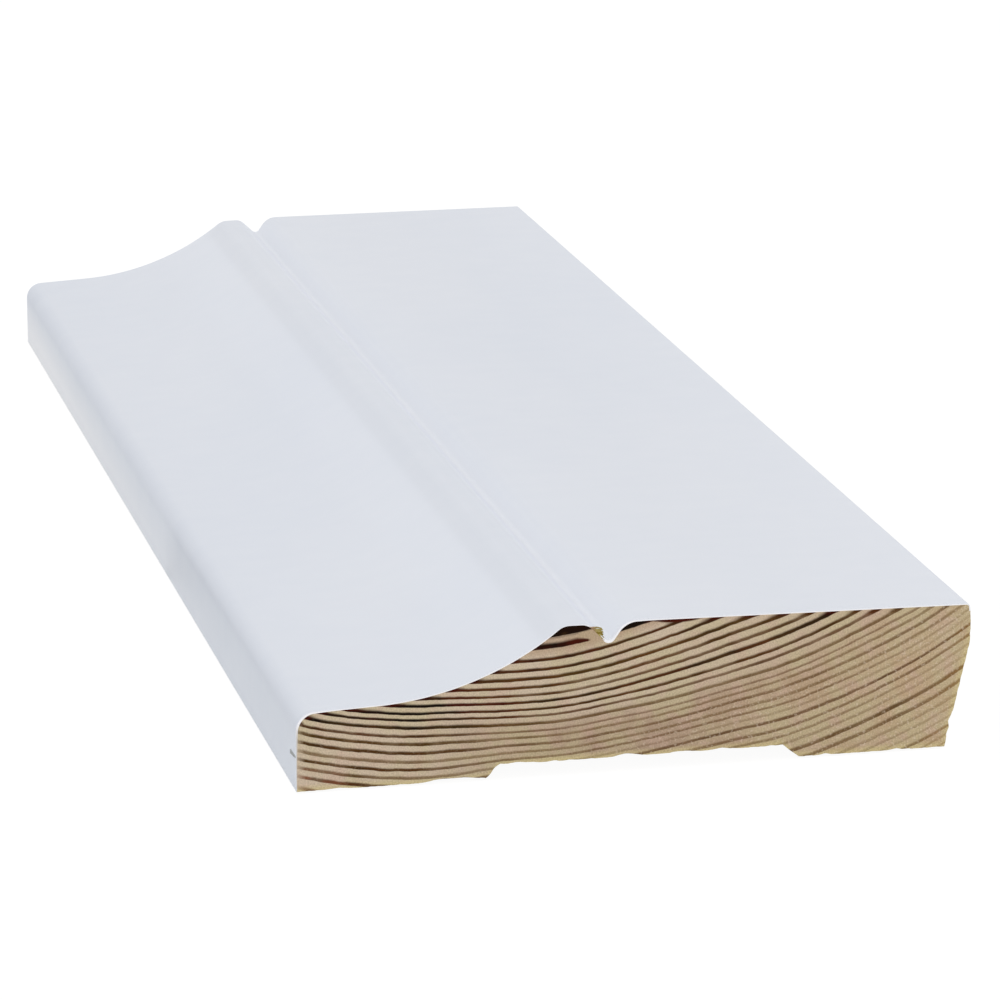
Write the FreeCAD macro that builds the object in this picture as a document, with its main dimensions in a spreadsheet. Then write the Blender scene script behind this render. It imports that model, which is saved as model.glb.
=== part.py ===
import FreeCAD, Part
import Sketcher
import math
import os

# Skirting board length, lying on its back.
# X is the board's width: the thin moulded edge is at -X, the thick edge that meets the floor at +X.
# Y is its length and Z its thickness, with the back on z = 0.

NODE = "skirting_board"

# Sizes in millimetres and degrees. Places across the width are measured from the thin edge.
SIZES = [
    ("board_width", 94.0),
    ("board_thickness", 20.5),
    ("board_length", 500.0),
    ("planing_allowance", 1.0),
    ("shelf_height", 10.8),
    ("shelf_rise", 2.0),
    ("edge_lean", 2.0),
    ("nose_radius", 2.8),
    ("cove_radius", 46.3),
    ("bead_drop", 0.12),
    ("bead_crest", 1.67),
    ("bead_inner_radius", 3.0),
    ("bead_outer_radius", 2.0),
    ("quirk_place", 43.9),
    ("quirk_depth", 2.55),
    ("quirk_radius", 0.8),
    ("quirk_bead_angle", 45.0),
    ("quirk_face_angle", 52.0),
    ("shoulder_radius", 3.0),
    ("face_fall", 1.1),
    ("undercut_height", 15.1),
    ("undercut_depth", 4.45),
    ("relief_place", 47.7),
    ("relief_mouth", 43.2),
    ("relief_floor", 39.0),
    ("relief_depth", 1.75),
    ("arris_radius", 0.5),
    ("clearance", 3.0),
]

doc = FreeCAD.newDocument("SkirtingBoard")

sheet = doc.addObject("Spreadsheet::Sheet", "Dimensions")
for row, (name, value) in enumerate(SIZES, start=1):
    sheet.set("A%d" % row, name)
    sheet.set("B%d" % row, "%g" % value)
    sheet.setAlias("B%d" % row, name)
doc.recompute()

size = {name: float(sheet.get(name)) for name, _ in SIZES}

body = doc.addObject("PartDesign::Body", "SkirtingBoard")
body.Label = NODE
body.Placement = FreeCAD.Placement()


def end_sketch(name):
    """A sketch on the plane across the length: its own x is the width, its own y is the height."""
    sketch = body.newObject("Sketcher::SketchObject", name)
    plane = [item for item in body.Origin.OriginFeatures if item.Role == "XZ_Plane"][0]
    sketch.AttachmentSupport = [(plane, "")]
    sketch.MapMode = "FlatFace"
    return sketch


def bind(sketch, name, constraint, expression):
    """Add one dimension to a sketch and tie it to the sizes."""
    index = sketch.addConstraint(constraint)
    sketch.renameConstraint(index, name)
    sketch.setExpression("Constraints." + name, expression)


def across(place):
    """Place across the width, from the thin edge, as x in the frame."""
    return place - size["board_width"] / 2


def loop(sketch, corners):
    """Closed run of straight lines, each from one corner to the next; gives their numbers."""
    lines = []
    for corner, following in zip(corners, corners[1:] + corners[:1]):
        start = FreeCAD.Vector(corner[0], corner[1], 0)
        end = FreeCAD.Vector(following[0], following[1], 0)
        lines.append(sketch.addGeometry(Part.LineSegment(start, end), False))
    for line, joined in zip(lines, lines[1:] + lines[:1]):
        sketch.addConstraint(Sketcher.Constraint("Coincident", line, 2, joined, 1))
    return lines


def set_x(sketch, name, line, point, value, expression):
    """Tie a point's x, on whichever side of the middle it lies."""
    if value < 0:
        constraint = Sketcher.Constraint("DistanceX", line, point, -1, 1, -value)
        bind(sketch, name, constraint, "-(" + expression + ")")
    else:
        constraint = Sketcher.Constraint("DistanceX", -1, 1, line, point, value)
        bind(sketch, name, constraint, expression)


def set_z(sketch, name, line, point, value, expression):
    """Tie a point's height above or below the back."""
    if value < 0:
        constraint = Sketcher.Constraint("DistanceY", line, point, -1, 1, -value)
        bind(sketch, name, constraint, "-(" + expression + ")")
    else:
        constraint = Sketcher.Constraint("DistanceY", -1, 1, line, point, value)
        bind(sketch, name, constraint, expression)


def cut_through(name, sketch):
    """Cut a sketch out along the whole length."""
    pocket = body.newObject("PartDesign::Pocket", name)
    pocket.Profile = sketch
    pocket.Type = "Length"
    pocket.SideType = "Symmetric"
    pocket.setExpression("Length", "Dimensions.board_length + 2 * Dimensions.clearance")
    doc.recompute()
    return pocket


def long_edges(shape, x, z):
    """Names of the edges that run the whole length at one place of the section."""
    names = []
    for index, edge in enumerate(shape.Edges, start=1):
        middle = edge.CenterOfMass
        near = abs(middle.x - x) < 0.05 and abs(middle.z - z) < 0.05
        if near and abs(edge.Length - size["board_length"]) < 0.01:
            names.append("Edge%d" % index)
    return names


# Blank: planed to width and on the back, with the face still to be cut. Its thin edge leans in a little.
half_width = size["board_width"] / 2
thickness = size["board_thickness"]
sawn = thickness + size["planing_allowance"]
edge_slope = math.tan(math.radians(size["edge_lean"]))
blank_sketch = end_sketch("BlankSketch")
blank_corners = [
    (-half_width, 0),
    (half_width, 0),
    (half_width, sawn),
    (-half_width + sawn * edge_slope, sawn),
]
back_line, right_line, top_line, left_line = loop(blank_sketch, blank_corners)
blank_sketch.addConstraint(Sketcher.Constraint("Vertical", right_line))
blank_sketch.addConstraint(Sketcher.Constraint("Horizontal", top_line))
blank_sketch.addConstraint(Sketcher.Constraint("PointOnObject", back_line, 1, -1))
blank_sketch.addConstraint(Sketcher.Constraint("Symmetric", back_line, 1, back_line, 2, -2))
across_back = Sketcher.Constraint("DistanceX", back_line, 1, back_line, 2, size["board_width"])
bind(blank_sketch, "width", across_back, "Dimensions.board_width")
HALF = "Dimensions.board_width / 2"
THICK = "Dimensions.board_thickness"
SAWN = THICK + " + Dimensions.planing_allowance"
up_side = Sketcher.Constraint("DistanceY", right_line, 1, right_line, 2, sawn)
bind(blank_sketch, "sawn_thickness", up_side, SAWN)
lean_in = Sketcher.Constraint("DistanceX", back_line, 1, top_line, 2, sawn * edge_slope)
bind(blank_sketch, "lean_in", lean_in, "(" + SAWN + ") * tan(Dimensions.edge_lean * 1 deg)")

blank = body.newObject("PartDesign::Pad", "Blank")
blank.Profile = blank_sketch
blank.Type = "Length"
blank.SideType = "Symmetric"
blank.setExpression("Length", "Dimensions.board_length")
doc.recompute()

# Moulded face: shelf, ogee cove, bead, quirk and the broad face that falls away to the floor edge.
# Every run meets the next without a corner, so each piece of the outline follows from its neighbours.
margin = size["clearance"]
shelf_rise = math.radians(size["shelf_rise"])
bead_side = math.radians(size["quirk_bead_angle"])
face_side = math.radians(size["quirk_face_angle"])
fall = math.radians(size["face_fall"])
cove_radius = size["cove_radius"]
inner_radius = size["bead_inner_radius"]
outer_radius = size["bead_outer_radius"]
quirk_radius = size["quirk_radius"]
shoulder_radius = size["shoulder_radius"]

left = -half_width - margin
right = half_width + margin
top = sawn + margin
shelf_left = size["shelf_height"] - margin * math.tan(shelf_rise)
crest = thickness - size["bead_drop"]

# The quirk's round floor fixes the bead on one side of it and the face's shoulder on the other.
quirk_centre = (across(size["quirk_place"]), thickness - size["quirk_depth"] + quirk_radius)
outer_z = crest - outer_radius
outer_run = (quirk_centre[1] - outer_z) * math.cos(bead_side) - outer_radius - quirk_radius
outer_centre = (quirk_centre[0] + outer_run / math.sin(bead_side), outer_z)
shoulder_z = thickness - shoulder_radius
shoulder_run = (shoulder_z - quirk_centre[1]) * math.cos(face_side) + shoulder_radius + quirk_radius
shoulder_centre = (quirk_centre[0] + shoulder_run / math.sin(face_side), shoulder_z)

# The cove touches the bead's inner side and the sloping shelf, and so finds its own start.
inner_centre = (outer_centre[0] - size["bead_crest"], crest - inner_radius)
inner_run = inner_centre[0] + half_width
inner_rise = inner_centre[1] - size["shelf_height"]
inner_along = inner_run * math.cos(shelf_rise) + inner_rise * math.sin(shelf_rise)
inner_above = inner_rise * math.cos(shelf_rise) - inner_run * math.sin(shelf_rise)
cove_reach = math.sqrt((cove_radius + inner_radius) ** 2 - (cove_radius - inner_above) ** 2)
cove_along = inner_along - cove_reach
cove_x = cove_along * math.cos(shelf_rise) - half_width
cove_z = cove_along * math.sin(shelf_rise) + size["shelf_height"]
cove_centre = (
    cove_x - cove_radius * math.sin(shelf_rise),
    cove_z + cove_radius * math.cos(shelf_rise),
)
cove_end = math.asin((inner_centre[0] - cove_centre[0]) / (cove_radius + inner_radius))


def on_arc(centre, radius, angle):
    """Point on an arc, as a vector in the sketch."""
    return FreeCAD.Vector(
        centre[0] + radius * math.cos(angle),
        centre[1] + radius * math.sin(angle),
        0,
    )


def arc(centre, radius, first, last):
    """Arc that runs anticlockwise between two angles."""
    circle = Part.Circle(FreeCAD.Vector(centre[0], centre[1], 0), FreeCAD.Vector(0, 0, 1), radius)
    return Part.ArcOfCircle(circle, first, last)


quarter = math.pi / 2
shelf_start = FreeCAD.Vector(left, shelf_left, 0)
shelf_end = FreeCAD.Vector(cove_x, cove_z, 0)
crest_start = on_arc(inner_centre, inner_radius, quarter)
crest_end = on_arc(outer_centre, outer_radius, quarter)
bead_foot = on_arc(outer_centre, outer_radius, quarter - bead_side)
quirk_start = on_arc(quirk_centre, quirk_radius, -quarter - bead_side)
quirk_end = on_arc(quirk_centre, quirk_radius, -quarter + face_side)
shoulder_foot = on_arc(shoulder_centre, shoulder_radius, quarter + face_side)
face_start = on_arc(shoulder_centre, shoulder_radius, quarter - fall)
face_end = FreeCAD.Vector(right, face_start.y - (right - face_start.x) * math.tan(fall), 0)
top_right = FreeCAD.Vector(right, top, 0)
top_left = FreeCAD.Vector(left, top, 0)

face_sketch = end_sketch("MouldedFaceSketch")
RUNS = [
    "shelf",
    "cove",
    "inner",
    "crest",
    "outer",
    "bead_side",
    "quirk",
    "face_side",
    "shoulder",
    "face",
    "right",
    "top",
    "left",
]
POINTS = ["edge", "start", "end", "centre"]
face_sketch.addGeometry(
    [
        Part.LineSegment(shelf_start, shelf_end),
        arc(cove_centre, cove_radius, -quarter + shelf_rise, -quarter + cove_end),
        arc(inner_centre, inner_radius, quarter, quarter + cove_end),
        Part.LineSegment(crest_start, crest_end),
        arc(outer_centre, outer_radius, quarter - bead_side, quarter),
        Part.LineSegment(bead_foot, quirk_start),
        arc(quirk_centre, quirk_radius, -quarter - bead_side, -quarter + face_side),
        Part.LineSegment(quirk_end, shoulder_foot),
        arc(shoulder_centre, shoulder_radius, quarter - fall, quarter + face_side),
        Part.LineSegment(face_start, face_end),
        Part.LineSegment(face_end, top_right),
        Part.LineSegment(top_right, top_left),
        Part.LineSegment(top_left, shelf_start),
    ],
    False,
)
for one, one_end, other, other_end in [
    ("shelf", "end", "cove", "start"),
    ("cove", "end", "inner", "end"),
    ("inner", "start", "crest", "start"),
    ("crest", "end", "outer", "end"),
    ("outer", "start", "bead_side", "start"),
    ("bead_side", "end", "quirk", "start"),
    ("quirk", "end", "face_side", "start"),
    ("face_side", "end", "shoulder", "end"),
    ("shoulder", "start", "face", "start"),
]:
    joint = (RUNS.index(one), POINTS.index(one_end), RUNS.index(other), POINTS.index(other_end))
    face_sketch.addConstraint(Sketcher.Constraint("Tangent", *joint))
for one, other in [("face", "right"), ("right", "top"), ("top", "left"), ("left", "shelf")]:
    joint = (RUNS.index(one), POINTS.index("end"), RUNS.index(other), POINTS.index("start"))
    face_sketch.addConstraint(Sketcher.Constraint("Coincident", *joint))
for kind, run in [
    ("Vertical", "right"),
    ("Horizontal", "top"),
    ("Vertical", "left"),
    ("Horizontal", "crest"),
]:
    face_sketch.addConstraint(Sketcher.Constraint(kind, RUNS.index(run)))
for run, name in [
    ("cove", "cove_radius"),
    ("inner", "bead_inner_radius"),
    ("outer", "bead_outer_radius"),
    ("quirk", "quirk_radius"),
    ("shoulder", "shoulder_radius"),
]:
    radius = Sketcher.Constraint("Radius", RUNS.index(run), size[name])
    bind(face_sketch, name, radius, "Dimensions." + name)
for run, name, sign in [
    ("shelf", "shelf_rise", 1),
    ("bead_side", "quirk_bead_angle", -1),
    ("face_side", "quirk_face_angle", 1),
    ("face", "face_fall", -1),
]:
    slope = Sketcher.Constraint("Angle", RUNS.index(run), sign * math.radians(size[name]))
    bind(face_sketch, name, slope, "%d deg * Dimensions.%s" % (sign, name))
crest_run = RUNS.index("crest")
crest_width = Sketcher.Constraint("DistanceX", crest_run, 1, crest_run, 2, size["bead_crest"])
bind(face_sketch, "bead_crest", crest_width, "Dimensions.bead_crest")
SHELF_LEFT = "Dimensions.shelf_height - Dimensions.clearance * tan(Dimensions.shelf_rise * 1 deg)"
QUIRK_Z = THICK + " - Dimensions.quirk_depth + Dimensions.quirk_radius"
for name, run, point, value, expression in [
    ("left_x", "left", "start", left, "-" + HALF + " - Dimensions.clearance"),
    ("right_x", "right", "start", right, HALF + " + Dimensions.clearance"),
    ("quirk_x", "quirk", "centre", quirk_centre[0], "Dimensions.quirk_place - " + HALF),
]:
    set_x(face_sketch, name, RUNS.index(run), POINTS.index(point), value, expression)
for name, run, point, value, expression in [
    ("top_z", "top", "start", top, SAWN + " + Dimensions.clearance"),
    ("shelf_z", "shelf", "start", shelf_left, SHELF_LEFT),
    ("crest_z", "crest", "start", crest, THICK + " - Dimensions.bead_drop"),
    ("quirk_z", "quirk", "centre", quirk_centre[1], QUIRK_Z),
    ("shoulder_z", "shoulder", "centre", shoulder_z, THICK + " - Dimensions.shoulder_radius"),
]:
    set_z(face_sketch, name, RUNS.index(run), POINTS.index(point), value, expression)
moulded_face = cut_through("MouldedFace", face_sketch)

# Nose: the corner between the thin edge and the shelf is rounded over.
corner_z = size["shelf_height"] / (1 - edge_slope * math.tan(shelf_rise))
corner_x = corner_z * edge_slope - half_width
nose_edges = long_edges(moulded_face.Shape, corner_x, corner_z)
nose = body.newObject("PartDesign::Fillet", "Nose")
nose.Base = (moulded_face, nose_edges)
nose.setExpression("Radius", "Dimensions.nose_radius")
doc.recompute()

# Floor edge: it leans back below a short upright land, so that the face side meets the floor first.
undercut_sketch = end_sketch("FloorUndercutSketch")
heel = half_width - size["undercut_depth"]
undercut_corners = [
    (heel, 0),
    (half_width, size["undercut_height"]),
    (right, size["undercut_height"]),
    (right, -margin),
    (heel, -margin),
]
lean, out, down, under, up = loop(undercut_sketch, undercut_corners)
land_foot = size["undercut_height"]
undercut_sketch.addConstraint(Sketcher.Constraint("Horizontal", out))
undercut_sketch.addConstraint(Sketcher.Constraint("Vertical", down))
undercut_sketch.addConstraint(Sketcher.Constraint("Horizontal", under))
undercut_sketch.addConstraint(Sketcher.Constraint("Vertical", up))
undercut_sketch.addConstraint(Sketcher.Constraint("PointOnObject", lean, 1, -1))
set_x(undercut_sketch, "heel", lean, 1, heel, HALF + " - Dimensions.undercut_depth")
set_x(undercut_sketch, "land", lean, 2, half_width, HALF)
set_z(undercut_sketch, "land_foot", lean, 2, land_foot, "Dimensions.undercut_height")
set_x(undercut_sketch, "outside", down, 1, right, HALF + " + Dimensions.clearance")
set_z(undercut_sketch, "below", under, 1, -margin, "-Dimensions.clearance")
undercut = cut_through("FloorUndercut", undercut_sketch)

# Back relief: a shallow hollow that leaves a land on either side to bear on the wall.
relief_sketch = end_sketch("BackReliefSketch")
relief_x = across(size["relief_place"])
mouth = size["relief_mouth"] / 2
floor = size["relief_floor"] / 2
relief_corners = [
    (relief_x - mouth, 0),
    (relief_x - floor, size["relief_depth"]),
    (relief_x + floor, size["relief_depth"]),
    (relief_x + mouth, 0),
    (relief_x + mouth, -margin),
    (relief_x - mouth, -margin),
]
rise, ceiling, drop, outlet, under, inlet = loop(relief_sketch, relief_corners)
relief_sketch.addConstraint(Sketcher.Constraint("Horizontal", ceiling))
relief_sketch.addConstraint(Sketcher.Constraint("Vertical", outlet))
relief_sketch.addConstraint(Sketcher.Constraint("Horizontal", under))
relief_sketch.addConstraint(Sketcher.Constraint("Vertical", inlet))
relief_sketch.addConstraint(Sketcher.Constraint("PointOnObject", rise, 1, -1))
relief_sketch.addConstraint(Sketcher.Constraint("PointOnObject", outlet, 1, -1))
MIDDLE = "Dimensions.relief_place - " + HALF
for name, line, reach, run in [
    ("mouth_left", rise, -mouth, " - Dimensions.relief_mouth / 2"),
    ("mouth_right", outlet, mouth, " + Dimensions.relief_mouth / 2"),
    ("floor_left", ceiling, -floor, " - Dimensions.relief_floor / 2"),
    ("floor_right", drop, floor, " + Dimensions.relief_floor / 2"),
]:
    set_x(relief_sketch, name, line, 1, relief_x + reach, MIDDLE + run)
set_z(relief_sketch, "depth", ceiling, 1, size["relief_depth"], "Dimensions.relief_depth")
set_z(relief_sketch, "below", under, 1, -margin, "-Dimensions.clearance")
relief = cut_through("BackRelief", relief_sketch)

# Floor arris: the sharp corner between the face and the land is just eased.
face_edge = face_start.y - (half_width - face_start.x) * math.tan(fall)
arris_edges = long_edges(relief.Shape, half_width, face_edge)
arris = body.newObject("PartDesign::Fillet", "FloorArris")
arris.Base = (relief, arris_edges)
arris.setExpression("Radius", "Dimensions.arris_radius")
body.Tip = arris
doc.recompute()

for sketch in [blank_sketch, face_sketch, undercut_sketch, relief_sketch]:
    if sketch.solve() != 0 or not sketch.FullyConstrained:
        raise RuntimeError(sketch.Name + " is not fully fixed by its sizes")
for item in doc.Objects:
    if "Invalid" in item.State or "Error" in item.State:
        raise RuntimeError(item.Name + " failed to rebuild")
steps = [blank, moulded_face, nose, undercut, relief, arris]
for item in steps:
    if item.Shape.isNull() or not item.Shape.isValid():
        raise RuntimeError(item.Name + " is not a valid solid")
for before, after in zip(steps, steps[1:]):
    if after.Shape.Volume >= before.Shape.Volume - 1:
        raise RuntimeError(after.Name + " takes nothing away")

shape = body.Shape
box = shape.BoundBox
if len(shape.Solids) != 1:
    raise RuntimeError("the board is not one solid")
for length, name in [
    (box.XLength, "board_width"),
    (box.YLength, "board_length"),
    (box.ZLength, "board_thickness"),
]:
    if abs(length - size[name]) > 0.01:
        raise RuntimeError("%s came out at %.3f" % (name, length))

os.makedirs("parts", exist_ok=True)
shape.exportStep("parts/" + NODE + ".step")
print("%s %.2f x %.2f x %.2f" % (NODE, box.XLength, box.YLength, box.ZLength))
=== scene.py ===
import math
import random

import bpy
from mathutils import Euler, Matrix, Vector, noise


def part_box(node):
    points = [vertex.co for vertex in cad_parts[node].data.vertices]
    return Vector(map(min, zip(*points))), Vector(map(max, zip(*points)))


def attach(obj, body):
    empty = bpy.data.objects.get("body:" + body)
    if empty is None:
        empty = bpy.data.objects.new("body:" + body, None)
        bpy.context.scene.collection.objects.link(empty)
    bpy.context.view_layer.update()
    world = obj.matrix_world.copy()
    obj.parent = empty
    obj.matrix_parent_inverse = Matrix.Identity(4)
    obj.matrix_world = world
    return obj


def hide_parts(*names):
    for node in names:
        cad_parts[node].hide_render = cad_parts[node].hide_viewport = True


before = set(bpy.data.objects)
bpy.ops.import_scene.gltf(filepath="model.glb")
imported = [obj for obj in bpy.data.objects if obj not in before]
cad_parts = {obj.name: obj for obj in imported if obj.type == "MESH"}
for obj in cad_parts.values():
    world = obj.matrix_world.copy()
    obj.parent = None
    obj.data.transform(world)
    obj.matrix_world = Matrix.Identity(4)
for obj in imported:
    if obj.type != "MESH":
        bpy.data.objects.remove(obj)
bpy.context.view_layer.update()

MM = 0.001
low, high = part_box("skirting_board")
MIDDLE = (low[0] + high[0]) / 2
WIDTH = (high[0] - low[0]) / MM
LENGTH = (high[1] - low[1]) / MM
THICKNESS = (high[2] - low[2]) / MM

# The section's sizes in millimetres; places are measured across from the thin edge.
SHELF_HEIGHT = 10.8
SHELF_RISE = math.radians(2.0)
EDGE_LEAN = math.radians(2.0)
NOSE_RADIUS = 2.8
COVE_RADIUS = 46.3
BEAD_DROP = 0.12
BEAD_CREST = 1.67
BEAD_INNER_RADIUS = 3.0
BEAD_OUTER_RADIUS = 2.0
QUIRK_PLACE = 43.9
QUIRK_DEPTH = 2.55
QUIRK_RADIUS = 0.8
QUIRK_BEAD_ANGLE = math.radians(45.0)
QUIRK_FACE_ANGLE = math.radians(52.0)
SHOULDER_RADIUS = 3.0
FACE_FALL = math.radians(1.1)
ARRIS_RADIUS = 0.5
UNDERCUT_HEIGHT = 15.1
UNDERCUT_DEPTH = 4.45
RELIEF_PLACE = 47.7
RELIEF_MOUTH = 43.2
RELIEF_FLOOR = 39.0
RELIEF_DEPTH = 1.75

# The paint: its thickness, the height at which it ends on the floor edge's land, and the spots where
# it gathers or thins: place across, height, reach, and how much thicker it is there.
PAINT = 0.16
PAINT_END = 18.6
PAINT_SPOTS = [
    (0.6, 9.6, 3.4, 0.2),
    (38.6, 20.4, 2.4, -0.09),
    (43.8, 17.9, 0.9, 0.2),
    (46.2, 20.1, 1.9, 0.14),
]

# From one wave of the planer to the next.
RIPPLE = 2.1

# Pieces torn out of the bare edges at the near end: place across, height, half width and depth.
TORN = [
    (5.8, 0.0, 1.3, 0.16),
    (19.6, 0.0, 1.6, 0.3),
    (22.6, 0.0, 2.6, 0.42),
    (27.6, 1.3, 0.9, 0.3),
    (30.4, RELIEF_DEPTH, 1.5, 0.22),
    (45.6, RELIEF_DEPTH, 1.3, 0.42),
    (53.0, RELIEF_DEPTH, 1.1, 0.18),
    (58.7, RELIEF_DEPTH, 1.2, 0.2),
    (72.9, 0.0, 0.9, 0.12),
    (82.9, 0.0, 0.7, 0.2),
    (90.1, 1.8, 0.5, 0.16),
    (90.5, 3.5, 0.6, 0.3),
    (94.0, 15.2, 0.8, 0.16),
]

# The pith of the tree, which lies well above the face: place across, and height.
PITH_ACROSS = 28.4
PITH_ABOVE = 118.0

# Growth rings, from the heel of the floor edge up to the bead: height, then how dark each one stands
# towards the thin edge and towards the floor edge.
YEARS = [
    (-12.8, 0.3, 0.2),
    (-11.8, 0.3, 0.16),
    (-10.9, 0.3, 0.18),
    (-10.0, 0.3, 0.5),
    (-8.9, 0.3, 0.08),
    (-7.95, 0.3, 0.17),
    (-6.9, 0.4, 0.21),
    (-5.6, 0.4, 0.55),
    (-4.25, 0.5, 0.66),
    (-3.0, 0.5, 0.26),
    (-2.0, 0.5, 0.38),
    (-1.0, 0.6, 0.5),
    (0.3, 0.72, 0.62),
    (1.25, 0.64, 0.16),
    (2.2, 0.78, 0.48),
    (3.1, 0.56, 0.45),
    (4.1, 0.84, 0.54),
    (5.1, 0.84, 0.42),
    (5.97, 0.86, 0.4),
    (6.95, 1.1, 0.6),
    (8.05, 1.1, 0.66),
    (8.93, 1.25, 0.8),
    (9.97, 1.3, 0.95),
    (10.95, 1.1, 0.7),
    (12.03, 1.15, 0.74),
    (13.15, 1.2, 0.84),
    (14.38, 1.15, 0.9),
    (15.75, 1.1, 0.95),
    (17.4, 1.2, 1.3),
    (18.95, 1.3, 1.3),
    (22.0, 1.0, 1.0),
]


# The board's two skins, timber and paint, worked out from the section.

def beside_quirk(quirk, height, radius, angle, side):
    """Centre of the arc, at a given height, that carries on from one flank of the quirk."""
    across = (height - quirk.y) * math.cos(angle) + QUIRK_RADIUS + radius
    return Vector((quirk.x + side * across / math.sin(angle), height))


def painted_line():
    """The section's painted run, from the thin edge's foot to the land: points and ways into the wood."""
    longest = 1.5
    quarter = math.pi / 2
    crest = THICKNESS - BEAD_DROP
    quirk = Vector((QUIRK_PLACE, THICKNESS - QUIRK_DEPTH + QUIRK_RADIUS))
    outer = beside_quirk(quirk, crest - BEAD_OUTER_RADIUS, BEAD_OUTER_RADIUS, QUIRK_BEAD_ANGLE, -1)
    shoulder = beside_quirk(quirk, THICKNESS - SHOULDER_RADIUS, SHOULDER_RADIUS, QUIRK_FACE_ANGLE, 1)
    inner = Vector((outer.x - BEAD_CREST, crest - BEAD_INNER_RADIUS))

    # The cove touches the sloping shelf at one end and the bead's inner arc at the other.
    apart = COVE_RADIUS + BEAD_INNER_RADIUS
    along = inner.x * math.cos(SHELF_RISE) + (inner.y - SHELF_HEIGHT) * math.sin(SHELF_RISE)
    above = (inner.y - SHELF_HEIGHT) * math.cos(SHELF_RISE) - inner.x * math.sin(SHELF_RISE)
    start = along - math.sqrt(apart ** 2 - (COVE_RADIUS - above) ** 2)
    cove = Vector((
        start * math.cos(SHELF_RISE) - COVE_RADIUS * math.sin(SHELF_RISE),
        SHELF_HEIGHT + start * math.sin(SHELF_RISE) + COVE_RADIUS * math.cos(SHELF_RISE),
    ))
    cove_end = math.asin((inner.x - cove.x) / apart)
    nose = Vector((0.0, 0.0))
    nose.x = NOSE_RADIUS + math.sin(EDGE_LEAN) * (SHELF_HEIGHT - NOSE_RADIUS / math.cos(SHELF_RISE))
    nose.x /= math.cos(EDGE_LEAN) - math.sin(EDGE_LEAN) * math.tan(SHELF_RISE)
    nose.y = SHELF_HEIGHT + nose.x * math.tan(SHELF_RISE) - NOSE_RADIUS / math.cos(SHELF_RISE)
    arris = Vector((WIDTH - ARRIS_RADIUS, 0.0))
    face = shoulder + SHOULDER_RADIUS * Vector((math.sin(FACE_FALL), math.cos(FACE_FALL)))
    arris.y = face.y - (arris.x - face.x) * math.tan(FACE_FALL) - ARRIS_RADIUS / math.cos(FACE_FALL)

    # Each bend: centre, radius, first and last angle, steps, and the side of it that the wood is on.
    bends = [
        (nose, NOSE_RADIUS, math.pi - EDGE_LEAN, quarter + SHELF_RISE, 16, -1),
        (cove, COVE_RADIUS, -quarter + SHELF_RISE, -quarter + cove_end, 48, 1),
        (inner, BEAD_INNER_RADIUS, quarter + cove_end, quarter, 12, -1),
        (outer, BEAD_OUTER_RADIUS, quarter, quarter - QUIRK_BEAD_ANGLE, 12, -1),
        (quirk, QUIRK_RADIUS, -quarter - QUIRK_BEAD_ANGLE, -quarter + QUIRK_FACE_ANGLE, 14, 1),
        (shoulder, SHOULDER_RADIUS, quarter + QUIRK_FACE_ANGLE, quarter - FACE_FALL, 14, -1),
        (arris, ARRIS_RADIUS, quarter - FACE_FALL, 0.0, 8, -1),
    ]
    line = [(Vector((0.0, 0.0)), Vector((math.cos(EDGE_LEAN), -math.sin(EDGE_LEAN))))]
    for centre, radius, first, last, count, side in bends:
        for step in range(count + 1):
            angle = first + (last - first) * step / count
            way = Vector((math.cos(angle), math.sin(angle)))
            line.append((centre + radius * way, side * way))
    line.append((Vector((WIDTH, PAINT_END)), Vector((-1.0, 0.0))))
    stepped = [line[0]]
    for (here, way), (there, next_way) in zip(line, line[1:]):
        count = max(1, math.ceil((there - here).length / longest))
        for step in range(1, count + 1):
            share = step / count
            stepped.append((here.lerp(there, share), way.lerp(next_way, share).normalized()))
    return stepped


def coat(point):
    """Thickness of the paint: it gathers or thins in its spots, and thins towards the thin edge's foot."""
    thick = PAINT
    for across, up, reach, more in PAINT_SPOTS:
        gap = (point - Vector((across, up))).length / reach
        thick += more * math.exp(-gap * gap)
    foot = max(0.0, 1.0 - point.y / 5.0) if point.x < 1.0 else 0.0
    return thick - 0.06 * foot


def under_paint():
    """The same run where the wood begins."""
    run = [point + coat(point) * way for point, way in painted_line()]
    run[0].y = 0.0
    return run


def bare_line():
    """The section's bare run: down the land, under the floor edge and back across the relieved back."""
    longest = 0.35
    corners = [
        (WIDTH, PAINT_END),
        (WIDTH, UNDERCUT_HEIGHT),
        (WIDTH - UNDERCUT_DEPTH, 0.0),
        (RELIEF_PLACE + RELIEF_MOUTH / 2, 0.0),
        (RELIEF_PLACE + RELIEF_FLOOR / 2, RELIEF_DEPTH),
        (RELIEF_PLACE - RELIEF_FLOOR / 2, RELIEF_DEPTH),
        (RELIEF_PLACE - RELIEF_MOUTH / 2, 0.0),
        (under_paint()[0].x, 0.0),
    ]
    stepped = [Vector(corners[0])]
    for here, there in zip(corners, corners[1:]):
        here, there = Vector(here), Vector(there)
        count = max(1, math.ceil((there - here).length / longest))
        stepped += [here.lerp(there, step / count) for step in range(1, count + 1)]
    return stepped


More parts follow.
